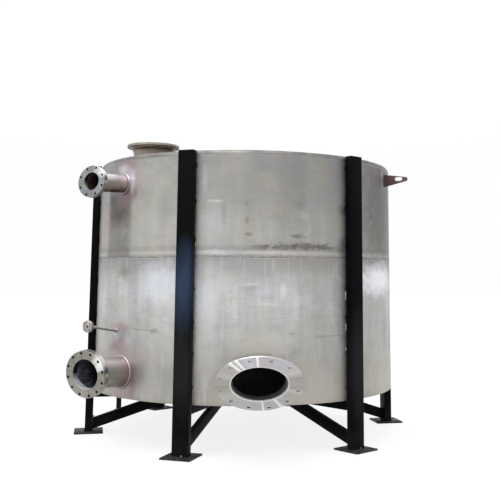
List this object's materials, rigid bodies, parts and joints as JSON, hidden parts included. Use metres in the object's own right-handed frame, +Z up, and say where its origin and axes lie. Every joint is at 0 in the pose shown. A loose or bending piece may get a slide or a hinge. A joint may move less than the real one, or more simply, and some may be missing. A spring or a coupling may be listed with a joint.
{
  "type": "storage tank",
  "caption": "Upright cylindrical stainless steel tank on full-height box-section legs, with flanged side nozzles, a sloping mouth at its foot, a roof port and a ladder.",
  "frame": {"origin": "centre of the bounding box at floor level, on the plane the base plates stand on; the tank's own axis is parallel to Z, 16.6 mm towards +X and 173.0 mm towards +Y from it", "axes": "+Z up along the tank; -Y towards the front, where the sloping mouth is; +X to the right of someone facing the front"},
  "size_m": [2.71, 2.9434, 2.328],
  "materials": {
    "stainless_sheet": "rolled sheet, satin with weld stains",
    "turned_stainless": "turned faces",
    "black_paint": "satin black",
    "dark_plate": "worn dark grey",
    "stained_steel": "stained red-brown"
  },
  "bodies": {
    "root": {"lower_shell_sheet_1": "stainless_sheet", "upper_shell_sheet_1": "stainless_sheet", "lower_shell_sheet_2": "stainless_sheet", "upper_shell_sheet_2": "stainless_sheet", "lower_shell_sheet_3": "stainless_sheet", "upper_shell_sheet_3": "stainless_sheet", "bottom_plate": "stainless_sheet", "roof": "stainless_sheet", "leg_1": "black_paint", "foot_plate_1": "dark_plate", "radial_beam_1": "black_paint", "brace_1": "black_paint", "leg_2": "black_paint", "foot_plate_2": "dark_plate", "radial_beam_2": "black_paint", "brace_2": "black_paint", "leg_3": "black_paint", "foot_plate_3": "dark_plate", "radial_beam_3": "black_paint", "brace_3": "black_paint", "leg_4": "black_paint", "foot_plate_4": "dark_plate", "radial_beam_4": "black_paint", "brace_4": "black_paint", "leg_5": "black_paint", "foot_plate_5": "dark_plate", "radial_beam_5": "black_paint", "brace_5": "black_paint", "leg_6": "black_paint", "foot_plate_6": "dark_plate", "radial_beam_6": "black_paint", "brace_6": "black_paint", "lower_inlet_pipe": "stainless_sheet", "lower_inlet_flange": "turned_stainless", "upper_inlet_pipe": "stainless_sheet", "upper_inlet_flange": "turned_stainless", "sample_branch_pipe": "stainless_sheet", "sample_branch_flange": "turned_stainless", "front_mouth_duct": "stainless_sheet", "front_mouth_flange": "turned_stainless", "roof_port_neck": "stainless_sheet", "roof_port_flange": "turned_stainless", "side_ear": "stained_steel", "ladder": "black_paint"}
  },
  "joints": []
}
